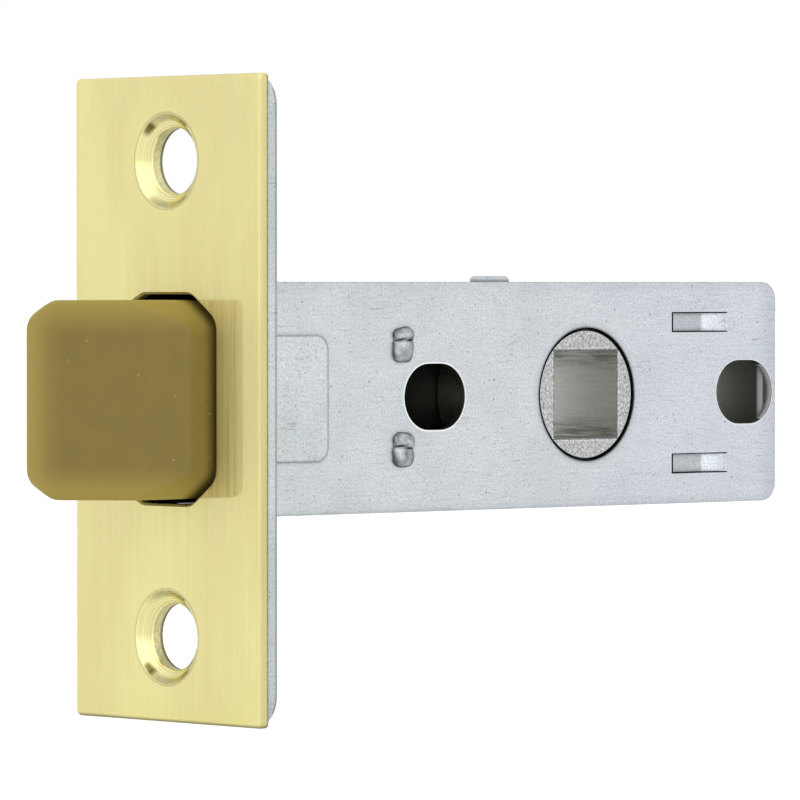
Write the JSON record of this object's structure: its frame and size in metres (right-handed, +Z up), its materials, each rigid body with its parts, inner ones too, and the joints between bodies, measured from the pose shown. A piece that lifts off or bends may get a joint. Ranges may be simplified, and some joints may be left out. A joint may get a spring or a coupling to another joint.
{
  "type": "door latch",
  "caption": "Mortice door latch: brass-faced plate, bevelled sprung plastic bolt and a flat plated steel case with a follower for a square spindle",
  "frame": {"origin": "middle of the faceplate's back face, halfway between the two screw holes", "axes": "+X runs from the faceplate into the door along the case, +Y across the case away from the bolt's bevel, +Z up along the faceplate"},
  "size_m": [0.0814, 0.025, 0.057],
  "materials": {
    "brass": "satin brushed brass sheet",
    "plated_steel": "zinc-plated sheet steel",
    "bolt_plastic": "olive moulded nylon",
    "hub_steel": "sintered steel",
    "spring_steel": "drawn spring wire"
  },
  "bodies": {
    "case": {"faceplate_cover": "brass", "backing_plate": "plated_steel", "case_body": "plated_steel", "case_cover": "plated_steel", "spring_bracket": "plated_steel", "bolt_spring": "spring_steel"},
    "bolt": {"latch_bolt": "bolt_plastic", "tail_plate_near": "plated_steel", "tail_plate_far": "plated_steel", "pull_bar_upper": "hub_steel", "pull_bar_lower": "hub_steel", "tail_rivets": "hub_steel"},
    "hub": {"follower_hub": "hub_steel"}
  },
  "joints": [
    {"name": "hub_turn", "type": "hinge", "parent": "case", "child": "hub", "pos_m": [0.0431, 0, 0], "axis": [0, 1, 0], "range_deg": [0, 80]},
    {"name": "bolt_slide", "type": "slide", "parent": "case", "child": "bolt", "axis": [1, 0, 0], "range_m": [0, 0.01112], "stiffness_N_per_m": 500, "springref_m": -0.006, "deforming": ["bolt_spring"]}
  ],
  "couplings": [
    {"joint": "hub_turn", "follows": "bolt_slide", "rad_per_m": 125.5}
  ]
}
